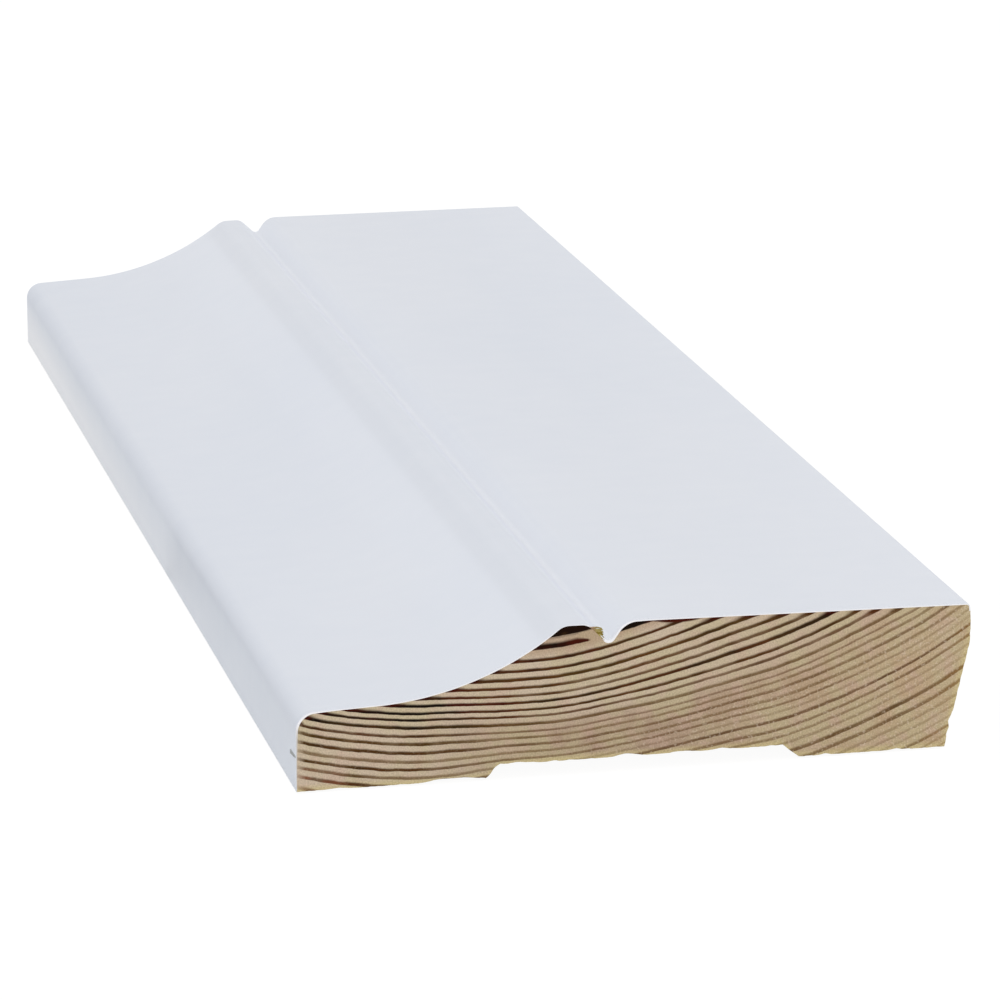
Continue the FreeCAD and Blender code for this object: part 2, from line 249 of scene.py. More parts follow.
def torn_depth(point, reach, end):
    """How far the saw's exit has torn a bare edge back, a given reach in from the cut."""
    fine = noise.noise(Vector((point.x * 2.3, point.y * 2.3, 7.0 * end + reach * 1.2)))
    splinter = noise.noise(Vector((point.x * 0.8, point.y * 0.8, 31.0 * end + reach * 0.3)))
    depth = 0.05 * max(0.0, fine + 0.4) * math.exp(-reach / 0.4)
    depth += 0.16 * max(0.0, splinter) * math.exp(-reach / 0.9)
    if end > 0:
        chip = noise.noise(Vector((point.x * 0.2, point.y * 0.2, 12.0)))
        return depth + 0.7 * max(0.0, chip - 0.1) * math.exp(-reach / 1.6)
    for across, up, half, deep in TORN:
        gap = (point - Vector((across, up))).length / half
        depth += deep * math.exp(-gap * gap) * math.exp(-reach / 1.5)
    return depth


def skin_mesh(name, loops, stations, near_cap, far_cap):
    """A closed skin through matching loops of the section, one at each station along the length."""
    count = len(loops[0])
    points = []
    for loop, station in zip(loops, stations):
        for point in loop:
            points.append(((point.x - WIDTH / 2) * MM + MIDDLE, station * MM, point.y * MM))
    faces = []
    for row in range(len(stations) - 1):
        here, there = row * count, (row + 1) * count
        for place in range(count):
            beside = (place + 1) % count
            faces.append((here + place, here + beside, there + beside, there + place))
    sides = len(faces)
    last = (len(stations) - 1) * count
    faces += [tuple(reversed(cap)) for cap in near_cap]
    faces += [tuple(last + place for place in cap) for cap in far_cap]
    mesh = bpy.data.meshes.new(name)
    mesh.from_pydata(points, [], faces)
    mesh.update()
    mesh.polygons.foreach_set("use_smooth", [True] * len(mesh.polygons))
    mesh.set_sharp_from_angle(angle=math.radians(28))
    piece = bpy.data.objects.new(name, mesh)
    bpy.context.scene.collection.objects.link(piece)
    return piece, sides


def along_board(reaches):
    """Stations from the near end to the far end: close together at the cuts, wide apart between."""
    half = LENGTH / 2
    between = half - reaches[-1]
    middle = [between * (step / 6 - 1) for step in range(1, 12)]
    return [-half + reach for reach in reaches] + middle + [half - reach for reach in reversed(reaches)]


def timber():
    """The pine itself, with small pieces torn away along the bare edges where the saw came through."""
    covered = under_paint()
    bare = bare_line()
    loop = covered + bare
    first = len(covered)
    stations = along_board([0.0, 0.12, 0.3, 0.6, 1.1, 1.9, 3.2, 5.5])
    loops = []
    for station in stations:
        reach = LENGTH / 2 - abs(station)
        end = math.copysign(1.0, station)
        cut = list(loop)
        for place in range(first + 1, len(loop) - 1):
            run = loop[place + 1] - loop[place - 1]
            way = Vector((run.y, -run.x)).normalized()
            cut[place] = loop[place] + torn_depth(loop[place], reach, end) * way
        loops.append(cut)
    whole = [tuple(range(len(loop)))]
    piece, sides = skin_mesh("timber", loops, stations, whole, whole)
    piece.data.materials.append(planed_pine())
    piece.data.materials.append(sawn_pine())
    for face in piece.data.polygons[sides:]:
        face.material_index = 1
    return piece


def paint_film():
    """White paint over the face and thin edge, sawn through with the wood and flaked at the tuft."""
    outer = [point for point, _ in painted_line()]
    inner = under_paint()
    inner.reverse()
    count = len(outer)
    stations = along_board([0.0, 0.03, 0.5])
    loops = []
    for station in stations:
        worn = 0.2 if abs(station) > LENGTH / 2 - 0.01 else 0.0
        skin = [point.lerp(under, worn) for point, under in zip(outer, reversed(inner))]
        loops.append(skin + inner)
    strips = [
        (place, place + 1, 2 * count - 2 - place, 2 * count - 1 - place)
        for place in range(count - 1)
    ]
    piece, sides = skin_mesh("paint_film", loops, stations, strips, strips)
    flake_start, flake_end, flake_deep = 41.3, 43.15, 0.42
    for corner in piece.data.vertices:
        across = (corner.co.x - MIDDLE) / MM + WIDTH / 2
        if flake_start < across < flake_end and corner.co.y < (0.1 - LENGTH / 2) * MM:
            corner.co.y += flake_deep * MM
    piece.data.materials.append(satin_white())
    piece.data.materials.append(cut_paint())
    for face in piece.data.polygons[sides:]:
        face.material_index = 1
    return piece


def sliver(points, faces, spine, thick):
    """One torn splinter: a four-sided taper along its spine, from thick at the root to a fine tip."""
    first = len(points)
    for place, spot in enumerate(spine):
        before = spine[max(place - 1, 0)]
        after = spine[min(place + 1, len(spine) - 1)]
        run = (after - before).normalized()
        side = run.cross(Vector((0.0, 1.0, 0.0)))
        if side.length < 0.1:
            side = run.cross(Vector((0.0, 0.0, 1.0)))
        side.normalize()
        up = run.cross(side)
        half = thick / 2 * (1.0 - 0.7 * place / (len(spine) - 1))
        points += [spot + half * side, spot + half * up, spot - half * side, spot - half * up]
    for place in range(len(spine) - 1):
        here = first + 4 * place
        for corner in range(4):
            beside = (corner + 1) % 4
            faces.append((here + corner, here + beside, here + 4 + beside, here + 4 + corner))
    last = first + 4 * (len(spine) - 1)
    faces.append((first + 3, first + 2, first + 1, first))
    faces.append((last, last + 1, last + 2, last + 3))


def tuft(points, faces, near):
    """Strands that the saw pulled from the bead's outer flank, from its top down to the quirk."""
    rng = random.Random(11)
    strands = 22
    for strand in range(strands):
        down = strand / (strands - 1)
        root = Vector((41.4 + 1.5 * down, near + rng.uniform(0.21, 0.28), 19.74 - 1.5 * down))
        tip = Vector((43.06 + 0.2 * down + rng.uniform(-0.16, 0.1), near + 0.36, 19.62 - 1.36 * down))
        tip.x = max(tip.x, root.x + 0.4)
        bend = Vector((0.0, 0.0, rng.uniform(-0.12, 0.16)))
        spine = [
            root.lerp(tip, share) + 4.0 * share * (1.0 - share) * bend
            for share in (0.0, 0.3, 0.6, 0.85, 1.0)
        ]
        sliver(points, faces, spine, rng.uniform(0.24, 0.4))


def frayed_splinter(points, faces, near):
    """Three strands lifted side by side from the thin edge, running to a point at the cut."""
    length = 6.8
    for offset in (-0.22, 0.0, 0.22):
        spine = []
        for share in (1.0, 0.8, 0.5, 0.25, 0.0):
            up = 4.77 - 0.28 * share + offset * (0.4 + 0.6 * share)
            spine.append(Vector((0.15 + 0.02 * share, near + 0.16 + length * share, up)))
        sliver(points, faces, spine, 0.3)


def torn_fibres():
    """Splinters left by the saw: a tuft on the bead's outer flank and a frayed one on the thin edge."""
    points, faces = [], []
    tuft(points, faces, -LENGTH / 2)
    frayed_splinter(points, faces, -LENGTH / 2)
    mesh = bpy.data.meshes.new("torn_fibres")
    placed = [((spot.x - WIDTH / 2) * MM + MIDDLE, spot.y * MM, spot.z * MM) for spot in points]
    mesh.from_pydata(placed, [], faces)
    mesh.update()
    piece = bpy.data.objects.new("torn_fibres", mesh)
    bpy.context.scene.collection.objects.link(piece)
    mesh.materials.append(straw())
    return piece


# Small steps that the finishes share.

def put(tree, kind, feeds=None, **settings):
    """Place one shader node and feed its inputs."""
    made = tree.nodes.new("ShaderNode" + kind)
    for name, value in settings.items():
        setattr(made, name, value)
    for name, value in (feeds or {}).items():
        if isinstance(value, bpy.types.NodeSocket):
            tree.links.new(value, made.inputs[name])
        else:
            made.inputs[name].default_value = value
    return made


def sums(tree, operation, *terms):
    """One step of arithmetic."""
    return put(tree, "Math", dict(enumerate(terms)), operation=operation).outputs[0]


def product(tree, first, *others):
    """Several values multiplied together."""
    for other in others:
        first = sums(tree, "MULTIPLY", first, other)
    return first


def away(tree, value, middle):
    """How far a value lies from a middle, either way."""
    return sums(tree, "ABSOLUTE", sums(tree, "SUBTRACT", value, middle))


def ramp(tree, value, low_in, high_in, low_out=0.0, high_out=1.0, smooth=False):
    """A value carried from one range to another and held at its ends."""
    kind = "SMOOTHSTEP" if smooth else "LINEAR"
    feeds = {0: value, 1: low_in, 2: high_in, 3: low_out, 4: high_out}
    return put(tree, "MapRange", feeds, interpolation_type=kind, clamp=True).outputs[0]


def blend(tree, amount, one, other):
    """Two colours blended by an amount."""
    return put(tree, "Mix", {0: amount, 6: one, 7: other}, data_type="RGBA").outputs[2]


def shade(tree, colour, amount):
    """A colour made lighter or darker by a factor."""
    grey = put(tree, "CombineColor", {0: amount, 1: amount, 2: amount}).outputs[0]
    feeds = {0: 1.0, 6: colour, 7: grey}
    return put(tree, "Mix", feeds, data_type="RGBA", blend_type="MULTIPLY").outputs[2]


def speckle(tree, place, scale, detail=2.0):
    """Even noise over the piece, finer as the scale grows."""
    return put(tree, "TexNoise", {"Vector": place, "Scale": scale, "Detail": detail}).outputs[0]


def traced(tree, value, marks, reach):
    """A curve through marks, for values between its ends; heights lie within the reach either way."""
    start, stop = marks[0][0], marks[-1][0]
    made = put(tree, "FloatCurve", {"Factor": 1.0, "Value": ramp(tree, value, start, stop)})
    curve = made.mapping.curves[0]
    for order, (place, height) in enumerate(marks):
        spot = ((place - start) / (stop - start), 0.5 + height / (2 * reach))
        if order < 2:
            curve.points[order].location = spot
        else:
            curve.points.new(*spot)
    made.mapping.update()
    return sums(tree, "MULTIPLY_ADD", made.outputs[0], 2.0 * reach, -reach)


def measured(tree, place):
    """Millimetres across from the thin edge, along from the near end and up from the back."""
    split = put(tree, "SeparateXYZ", {0: place}).outputs
    across = sums(tree, "MULTIPLY_ADD", split[0], 1 / MM, WIDTH / 2)
    along = sums(tree, "MULTIPLY_ADD", split[1], 1 / MM, LENGTH / 2)
    return across, along, sums(tree, "MULTIPLY", split[2], 1 / MM)


def drawn_out(tree, place, share):
    """The same place with the board's length shortened, so that noise is drawn out along the grain."""
    return put(tree, "Mapping", {"Vector": place, "Scale": (1.0, share, 1.0)}).outputs[0]


def finish(name, gloss, rough=None):
    """A new material with its shader, and the place on the board that its nodes read."""
    material = bpy.data.materials.new(name)
    material.use_nodes = True
    tree = material.node_tree
    shader = tree.nodes["Principled BSDF"]
    shader.inputs["Specular IOR Level"].default_value = gloss
    if rough is not None:
        shader.inputs["Roughness"].default_value = rough
    return material, tree, shader, put(tree, "TexCoord").outputs["Object"]


def relief(tree, shader, height, strength, distance):
    """Fine relief from a height."""
    bump = put(tree, "Bump", {"Height": height, "Strength": strength, "Distance": distance})
    tree.links.new(bump.outputs[0], shader.inputs["Normal"])


# The shared groups: growth rings for the sawn and the planed wood, and the planer's ripple.

def ring_depth(tree, x, y, z):
    """How far a place lies inside a circle about the pith, which wanders a little along the board."""
    bow = put(
        tree, "TexNoise", {"W": sums(tree, "MULTIPLY", y, 0.007), "Scale": 1.0, "Detail": 1.0},
        noise_dimensions="1D",
    ).outputs[0]
    sway = sums(tree, "MULTIPLY", sums(tree, "SUBTRACT", bow, 0.5), ramp(tree, y, 0.0, 60.0))
    pith_x = sums(tree, "MULTIPLY_ADD", sway, 14.0, PITH_ACROSS)
    pith_z = sums(tree, "MULTIPLY_ADD", y, -0.006, PITH_ABOVE)
    run = sums(tree, "SUBTRACT", x, pith_x)
    rise = sums(tree, "SUBTRACT", z, pith_z)
    reach = sums(tree, "SQRT", sums(tree, "MULTIPLY_ADD", run, run, sums(tree, "MULTIPLY", rise, rise)))
    return sums(tree, "SUBTRACT", PITH_ABOVE, reach)


def ring_level(tree, x, y, z, drawn, waver):
    """The height of the year's ring that a place lies on: the rings are no true circles."""
    depth = ring_depth(tree, x, y, z)

    # Where the growth was pushed out of round, across the width.
    body = traced(tree, x, [
        (0, 0.0), (5, -0.15), (15, 0.0), (24, 0.35), (31, 0.2), (38, 0.0),
        (48, 0.15), (60, 0.0), (68, -0.45), (78, -0.9), (90, -1.7), (94, -1.9),
    ], 2.0)
    upper = traced(tree, x, [(0, 0.0), (38, 0.0), (48, 0.45), (58, 1.0), (94, 1.2)], 2.0)
    lower = traced(tree, x, [(0, 0.0), (50, 0.0), (60, -0.4), (70, -1.0), (80, -1.1), (94, -0.7)], 2.0)
    bend = sums(tree, "MULTIPLY_ADD", upper, ramp(tree, depth, 9.0, 16.0), body)
    bend = sums(tree, "MULTIPLY_ADD", lower, ramp(tree, depth, 4.0, -2.0), bend)
    level = sums(tree, "SUBTRACT", depth, bend)

    # Years lie wider apart under the thin edge, and some drop away towards the floor edge.
    spread = ramp(tree, x, 18.0, 32.0, 0.19, 0.0, smooth=True)
    level = sums(tree, "MULTIPLY_ADD", spread, ramp(tree, level, 6.5, -3.5, 0.0, 10.0), level)
    drop = traced(tree, level, [
        (-1.0, 0.0), (0.0, 0.2), (1.0, 0.3), (2.0, 0.55), (3.5, 0.65), (5.0, 0.8), (6.3, 0.8),
        (7.6, 0.5), (8.7, 0.33), (10.0, 0.03), (11.0, 0.0),
    ], 1.0)
    level = sums(tree, "MULTIPLY_ADD", drop, ramp(tree, x, 43.0, 72.0, 0.0, 1.05), level)

    # Small waves, slow and quick.
    slow = sums(tree, "SUBTRACT", speckle(tree, drawn, 0.13), 0.5)
    quick = sums(tree, "SUBTRACT", speckle(tree, drawn, 0.55), 0.5)
    wave = sums(tree, "MULTIPLY_ADD", quick, 0.6, slow)
    return sums(tree, "ADD", level, product(tree, wave, waver, 3.0))


def year_strength(tree, x, level, year, drawn):
    """How dark a year's late wood stands, on either side of the board."""
    near_thin = traced(tree, year, [(order, dark) for order, (_, dark, _) in enumerate(YEARS)], 2.0)
    near_floor = traced(tree, year, [(order, dark) for order, (_, _, dark) in enumerate(YEARS)], 2.0)
    side = ramp(tree, x, 8.0, 44.0, smooth=True)
    strength = put(tree, "Mix", {0: side, 2: near_thin, 3: near_floor}).outputs[0]
    uneven = ramp(tree, speckle(tree, drawn, 0.2, 3.0), 0.3, 0.7, 0.8, 1.16)

    # Two bands of years fade near the floor edge.
    faint = traced(tree, level, [
        (-3.7, 0.0), (-3.3, 0.6), (-1.7, 0.6), (-1.3, 0.0), (0.6, 0.0), (1.0, 0.6), (2.7, 0.6), (3.1, 0.0),
    ], 1.0)
    faint = sums(tree, "MULTIPLY", faint, ramp(tree, x, 77.0, 87.0))
    return product(tree, strength, uneven, sums(tree, "SUBTRACT", 1.0, faint))


def under_face(tree, x, z):
    """How deep a place lies under the painted face."""
    face_height = traced(tree, x, [
        (0, 7.0), (1, 9.5), (3, 10.75), (12, 11.2), (20, 12.45), (26, 14.2), (31, 16.5), (35, 18.9),
        (36.5, 19.9), (38, 20.25), (40, 20.0), (42.2, 18.2), (43.9, 17.8), (45.2, 18.9), (47, 20.25),
        (50, 20.3), (94, 19.45),
    ], 24.0)
    return sums(tree, "SUBTRACT", face_height, z)


def late_share(tree, x, level, lot, strength, skin, share):
    """The share of a year that is late wood: more in a strong year and close under the face."""
    slender = sums(tree, "MULTIPLY", ramp(tree, x, 44.0, 50.0), ramp(tree, level, 12.0, 13.0))
    share = product(
        tree, share,
        sums(tree, "MULTIPLY_ADD", lot, 0.2, 0.88),
        ramp(tree, strength, 0.2, 1.2, 0.85, 1.25),
        ramp(tree, level, 13.5, 15.0, 1.0, 0.8),
        sums(tree, "MULTIPLY_ADD", slender, -0.14, 1.0),
    )
    share = sums(tree, "MULTIPLY_ADD", skin, 0.2, share)
    share = sums(tree, "ADD", share, ramp(tree, level, 16.7, 17.0, 0.0, 0.2))
    return sums(tree, "ADD", share, ramp(tree, level, 18.2, 18.6, 0.0, 0.7))


def smeared_year(tree, x, under):
    """Beside the quirk the cutter ran along one year's late wood and left it smeared under the face."""
    depth = traced(tree, x, [
        (49, 0.0), (50.5, 0.22), (52.5, 0.5), (54.5, 0.5), (56.5, 0.25), (58, 0.0),
    ], 1.0)
    smear = ramp(tree, sums(tree, "SUBTRACT", under, depth), 0.08, -0.1)
    return product(tree, smear, ramp(tree, x, 49.3, 50.3), ramp(tree, x, 57.8, 56.0))


def growth_rings():
    """Yearly rings about a pith above the face: late wood, shade, strength, depth and burnish."""
    tree = bpy.data.node_groups.new("growth_rings", "ShaderNodeTree")
    face = tree.interface
    face.new_socket("Place", in_out="INPUT", socket_type="NodeSocketVector")
    for name, value in [("Late share", 0.48), ("Waver", 0.1)]:
        face.new_socket(name, in_out="INPUT", socket_type="NodeSocketFloat").default_value = value
    for name in ("Late wood", "Ring shade", "Strength", "Depth", "Burnish"):
        face.new_socket(name, in_out="OUTPUT", socket_type="NodeSocketFloat")
    given = tree.nodes.new("NodeGroupInput").outputs
    x, y, z = measured(tree, given["Place"])
    drawn = put(tree, "CombineXYZ", {0: x, 1: sums(tree, "MULTIPLY", y, 0.03), 2: z}).outputs[0]
    level = ring_level(tree, x, y, z, drawn, given["Waver"])

    # Count the years: the whole part is the year, and the rest is how far into it the place lies.
    count = traced(tree, level, [(height, order) for order, (height, _, _) in enumerate(YEARS)], 32.0)
    count = sums(tree, "ADD", count, 0.21)
    year = sums(tree, "FLOOR", count)
    part = sums(tree, "FRACT", count)
    lot = put(tree, "TexWhiteNoise", {"W": year}, noise_dimensions="1D").outputs[0]
    strength = year_strength(tree, x, level, year, drawn)

    # Late wood thickens right under the painted face, where the cutter has burnished it.
    under = under_face(tree, x, z)
    skin = product(
        tree,
        ramp(tree, under, 0.9, 0.15, smooth=True),
        ramp(tree, strength, 0.3, 0.8),
        ramp(tree, away(tree, x, 43.0), 2.2, 3.2),
    )
    strength = sums(tree, "MULTIPLY_ADD", skin, 0.3, strength)

    # The ring under the bead tapers away where the tuft was torn out.
    torn = ramp(tree, away(tree, x, 42.8), 3.2, 1.2)
    torn = sums(tree, "MULTIPLY", torn, ramp(tree, level, 16.2, 16.5))
    share = late_share(tree, x, level, lot, strength, skin, given["Late share"])
    share = sums(tree, "MULTIPLY", share, sums(tree, "MULTIPLY_ADD", torn, -0.8, 1.0))

    # Late wood stops dead at the bark side of its year and fades out on the pith side.
    hold = sums(tree, "MULTIPLY_ADD", share, 0.45, 0.05)
    fade = ramp(tree, part, hold, sums(tree, "ADD", share, 0.06), 1.0, 0.0, smooth=True)
    late = product(tree, fade, ramp(tree, part, 0.0, 0.07), ramp(tree, torn, 0.7, 0.95, 1.0, 0.0))
    late = sums(tree, "MAXIMUM", late, ramp(tree, level, 18.5, 18.75))
    smear = smeared_year(tree, x, under)

    out = tree.nodes.new("NodeGroupOutput").inputs
    tree.links.new(sums(tree, "MAXIMUM", late, smear), out["Late wood"])
    tree.links.new(lot, out["Ring shade"])
    tree.links.new(sums(tree, "MAXIMUM", strength, smear), out["Strength"])
    tree.links.new(level, out["Depth"])
    tree.links.new(sums(tree, "MAXIMUM", skin, smear), out["Burnish"])
    return tree


def planer_ripple():
    """The shallow waves that the planer's knives leave across the board."""
    tree = bpy.data.node_groups.new("planer_ripple", "ShaderNodeTree")
    face = tree.interface
    face.new_socket("Place", in_out="INPUT", socket_type="NodeSocketVector")
    face.new_socket("Ripple", in_out="OUTPUT", socket_type="NodeSocketFloat")
    given = tree.nodes.new("NodeGroupInput").outputs
    along = put(tree, "SeparateXYZ", {0: given["Place"]}).outputs[1]
    wave = sums(tree, "SINE", sums(tree, "MULTIPLY", along, 2 * math.pi / (RIPPLE * MM)))
    tree.links.new(wave, tree.nodes.new("NodeGroupOutput").inputs["Ripple"])
    return tree


RINGS = growth_rings()
KNIFE_WAVES = planer_ripple()


def shared(tree, group, place, **values):
    """One of the shared groups placed in a material."""
    made = tree.nodes.new("ShaderNodeGroup")
    made.node_tree = group
    tree.links.new(place, made.inputs["Place"])
    for name, value in values.items():
        made.inputs[name.replace("_", " ")].default_value = value
    return made.outputs


# The finishes.

def from_heel(tree, x, z):
    """Place across, carried down to the back along the undercut's slope."""
    return sums(tree, "MULTIPLY_ADD", z, -UNDERCUT_DEPTH / UNDERCUT_HEIGHT, x)


def sawn_early_wood(tree, place, ring, x, z):
    """Early wood of a sawn end: duller low down, clouded olive and rosy, straw yellow at bare edges."""
    right = ramp(tree, x, 50.0, 85.0)
    light_part = ramp(tree, ring["Depth"], 5.0, 9.0, smooth=True)
    light_part = sums(tree, "MAXIMUM", light_part, ramp(tree, x, 32.0, 17.0))
    dull = blend(tree, right, (0.425, 0.305, 0.215, 1), (0.51, 0.37, 0.23, 1))
    pale = blend(tree, right, (0.60, 0.485, 0.362, 1), (0.535, 0.407, 0.275, 1))
    early = blend(tree, light_part, dull, pale)
    olive = ramp(tree, speckle(tree, place, 210.0, 3.0), 0.42, 0.6, 0.0, 0.6)
    early = blend(tree, olive, early, (0.54, 0.46, 0.28, 1))
    rosy = ramp(tree, speckle(tree, place, 380.0, 2.0), 0.5, 0.64, 0.0, 0.42)
    early = blend(tree, rosy, early, (0.57, 0.395, 0.31, 1))

    # The last of the wood before a bare edge is straw yellow.
    across = away(tree, x, RELIEF_PLACE)
    ceiling = ramp(tree, across, RELIEF_FLOOR / 2, RELIEF_MOUTH / 2, RELIEF_DEPTH, 0.0)
    brink = ramp(tree, sums(tree, "SUBTRACT", z, ceiling), 1.0, 0.2, 0.0, 0.75)
    brink = sums(tree, "MAXIMUM", brink, ramp(tree, from_heel(tree, x, z), 88.5, 89.4, 0.0, 0.75))
    early = blend(tree, brink, early, (0.63, 0.53, 0.27, 1))

    # Under the bead and the shoulder it is browner, where the face was cut close.
    crest = ramp(tree, ring["Depth"], 15.9, 16.9, 0.0, 0.55)
    return blend(tree, crest, early, (0.4, 0.26, 0.165, 1))


def sawn_late_wood(tree, place, ring, x, z):
    """Late wood of a sawn end: brown in a weak year, black or wine red in a strong one."""
    deep = ramp(tree, ring["Strength"], 0.5, 1.15)
    brown = blend(tree, ring["Ring shade"], (0.125, 0.051, 0.014, 1), (0.145, 0.075, 0.016, 1))

    # The caps under the bead and beside the quirk stay black.
    tinge = ramp(tree, speckle(tree, place, 170.0), 0.45, 0.62)
    tinge = sums(tree, "MAXIMUM", tinge, ring["Burnish"])
    beside = ramp(tree, away(tree, x, 46.5), 2.2, 3.4)
    beside = sums(tree, "MAXIMUM", beside, ramp(tree, z, 18.8, 18.2))
    tinge = product(tree, tinge, ramp(tree, ring["Depth"], 18.0, 18.5, 1.0, 0.1), beside)
    black = blend(tree, tinge, (0.007, 0.003, 0.001, 1), (0.055, 0.006, 0.002, 1))
    dark = blend(tree, deep, brown, black)

    # Rusty low on the thin edge's side, and pale brown towards the heel of the floor edge.
    rusty = product(
        tree,
        ramp(tree, x, 8.0, 5.0),
        ramp(tree, ring["Depth"], 2.0, 0.5),
        ramp(tree, speckle(tree, place, 300.0), 0.38, 0.5),
    )
    dark = blend(tree, rusty, dark, (0.17, 0.045, 0.013, 1))
    heel = ramp(tree, from_heel(tree, x, z), 85.0, 89.5, 0.0, 0.8)
    return blend(tree, heel, dark, (0.26, 0.13, 0.03, 1))


def sawn_pine():
    """End grain: sharp dark late wood in tan early wood, speckled with saw dust and fibre ends."""
    material, tree, shader, place = finish("sawn_pine", 0.08, 0.9)
    ring = shared(tree, RINGS, place)
    x, _, z = measured(tree, place)
    edge = sums(tree, "MAXIMUM", ramp(tree, x, 0.3, 1.4), ramp(tree, z, 8.5, 9.5))
    amount = product(
        tree, ring["Late wood"],
        ramp(tree, ring["Strength"], 0.0, 0.8, 0.2, 1.0),
        ramp(tree, edge, 0.0, 1.0, 0.35, 1.0),
    )
    early = sawn_early_wood(tree, place, ring, x, z)
    wood = blend(tree, amount, early, sawn_late_wood(tree, place, ring, x, z))
    fibre = speckle(tree, place, 4600.0, 1.0)
    wood = shade(tree, wood, ramp(tree, fibre, 0.3, 0.7, 0.86, 1.14))
    lying = product(
        tree,
        ramp(tree, speckle(tree, place, 2300.0, 1.0), 0.56, 0.72),
        ramp(tree, ring["Depth"], 8.0, 3.0, 0.0, 0.38),
        ramp(tree, x, 35.0, 55.0, 0.25, 1.0),
    )
    wood = blend(tree, lying, wood, (0.74, 0.62, 0.48, 1))
    tree.links.new(wood, shader.inputs["Base Color"])
    height = sums(tree, "MULTIPLY_ADD", ring["Late wood"], 0.35, speckle(tree, place, 2600.0, 3.0))
    relief(tree, shader, height, 0.35, 0.08 * MM)
    return material


def planed_pine():
    """Long grain on the back and floor edge: pale pine, amber late wood and the planer's ripple."""
    material, tree, shader, place = finish("planed_pine", 0.3)
    ring = shared(tree, RINGS, place, Late_share=0.42, Waver=0.2)
    drawn = drawn_out(tree, place, 0.035)
    fibre = speckle(tree, drawn, 2600.0, 4.0)
    early = blend(tree, speckle(tree, drawn, 60.0), (0.66, 0.50, 0.31, 1), (0.60, 0.45, 0.27, 1))
    wood = blend(tree, sums(tree, "MULTIPLY", ring["Late wood"], 0.62), early, (0.36, 0.19, 0.075, 1))
    wood = shade(tree, wood, ramp(tree, fibre, 0.3, 0.7, 0.88, 1.1))
    tree.links.new(wood, shader.inputs["Base Color"])
    tree.links.new(ramp(tree, ring["Late wood"], 0.0, 1.0, 0.62, 0.48), shader.inputs["Roughness"])
    ripple = shared(tree, KNIFE_WAVES, place)["Ripple"]
    height = sums(tree, "MULTIPLY_ADD", fibre, 0.8, sums(tree, "MULTIPLY", ripple, 0.12))
    height = sums(tree, "MULTIPLY_ADD", ring["Late wood"], 0.3, height)
    relief(tree, shader, height, 0.3, 0.06 * MM)
    return material


def satin_white():
    """Cool white satin paint, sprayed on: painted light lifts the cove and the quirk, painted shade darkens
    the thin edge, and the planer's ripple shows faintly.
    """
    material, tree, shader, place = finish("satin_white", 0.35)
    cloud = ramp(tree, speckle(tree, drawn_out(tree, place, 0.2), 26.0, 3.0), 0.35, 0.65)
    tint = blend(tree, cloud, (0.742, 0.777, 0.85, 1), (0.768, 0.796, 0.86, 1))
    x, y, z = measured(tree, place)
    # Painted light: the paint is lighter on the steep cove and on the flanks of the bead and quirk.
    body = traced(tree, x, [
        (0, 0.0), (8, 0.012), (24, 0.024), (30, 0.044), (33.6, 0.048), (35.4, 0.004), (39.5, -0.004),
        (40.6, -0.006), (41.1, 0.012), (41.7, 0.058), (42.4, 0.066), (43.2, 0.052), (44.0, 0.04),
        (44.7, 0.062), (45.3, 0.034), (46.3, 0.022), (47.0, 0.014), (94, 0.022),
    ], 0.1)
    tint = shade(tree, tint, sums(tree, "ADD", body, 1.0))
    # Painted light: the quirk is painted a lighter white, to cancel the shade in it.
    quirk_painted_light = ramp(tree, away(tree, x, 44.2), 2.0, 0.4)
    tint = blend(tree, quirk_painted_light, tint, (0.838, 0.861, 0.915, 1))

    # Painted shade darkens the nose and the thin edge, most at the nose, and painted light whitens the thin
    # edge towards the far end's foot.
    under_nose = ramp(tree, z, 8.8, 7.2)
    edge_painted_light_and_shade = blend(tree, under_nose, (0.715, 0.755, 0.838, 1), (0.742, 0.787, 0.868, 1))
    foot = sums(tree, "MULTIPLY", ramp(tree, z, 8.5, 2.5), ramp(tree, y, 90.0, 460.0, 0.08, 1.0))
    edge_painted_light_and_shade = blend(tree, foot, edge_painted_light_and_shade, (0.93, 0.945, 0.985, 1))
    tint = blend(tree, ramp(tree, x, 2.8, 0.6), tint, edge_painted_light_and_shade)
    tree.links.new(tint, shader.inputs["Base Color"])
    gloss = ramp(tree, speckle(tree, place, 160.0), 0.3, 0.7, 0.46, 0.54)
    tree.links.new(gloss, shader.inputs["Roughness"])
    ripple = shared(tree, KNIFE_WAVES, place)["Ripple"]
    height = sums(tree, "MULTIPLY_ADD", ripple, 0.05, speckle(tree, place, 900.0))
    relief(tree, shader, height, 0.1, 0.04 * MM)
    return material


def cut_paint():
    """The paint's sawn edge: chalky, lighter than its face partly as a painted highlight along the cut, but
    rubbed dull down the thin edge.
    """
    material, tree, shader, place = finish("cut_paint", 0.2, 0.8)
    # The light tint is partly the paint's own chalky white and partly a painted highlight along the cut.
    grain = ramp(tree, speckle(tree, place, 3000.0), 0.3, 0.7)
    tint = blend(tree, grain, (0.93, 0.92, 0.95, 1), (0.99, 0.98, 0.99, 1))
    x, _, z = measured(tree, place)
    rubbed = sums(tree, "MULTIPLY", ramp(tree, x, 1.2, 0.6), ramp(tree, z, 9.5, 7.5))
    tint = blend(tree, rubbed, tint, (0.66, 0.64, 0.63, 1))
    tree.links.new(tint, shader.inputs["Base Color"])
    relief(tree, shader, speckle(tree, place, 2500.0), 0.2, 0.03 * MM)
    return material


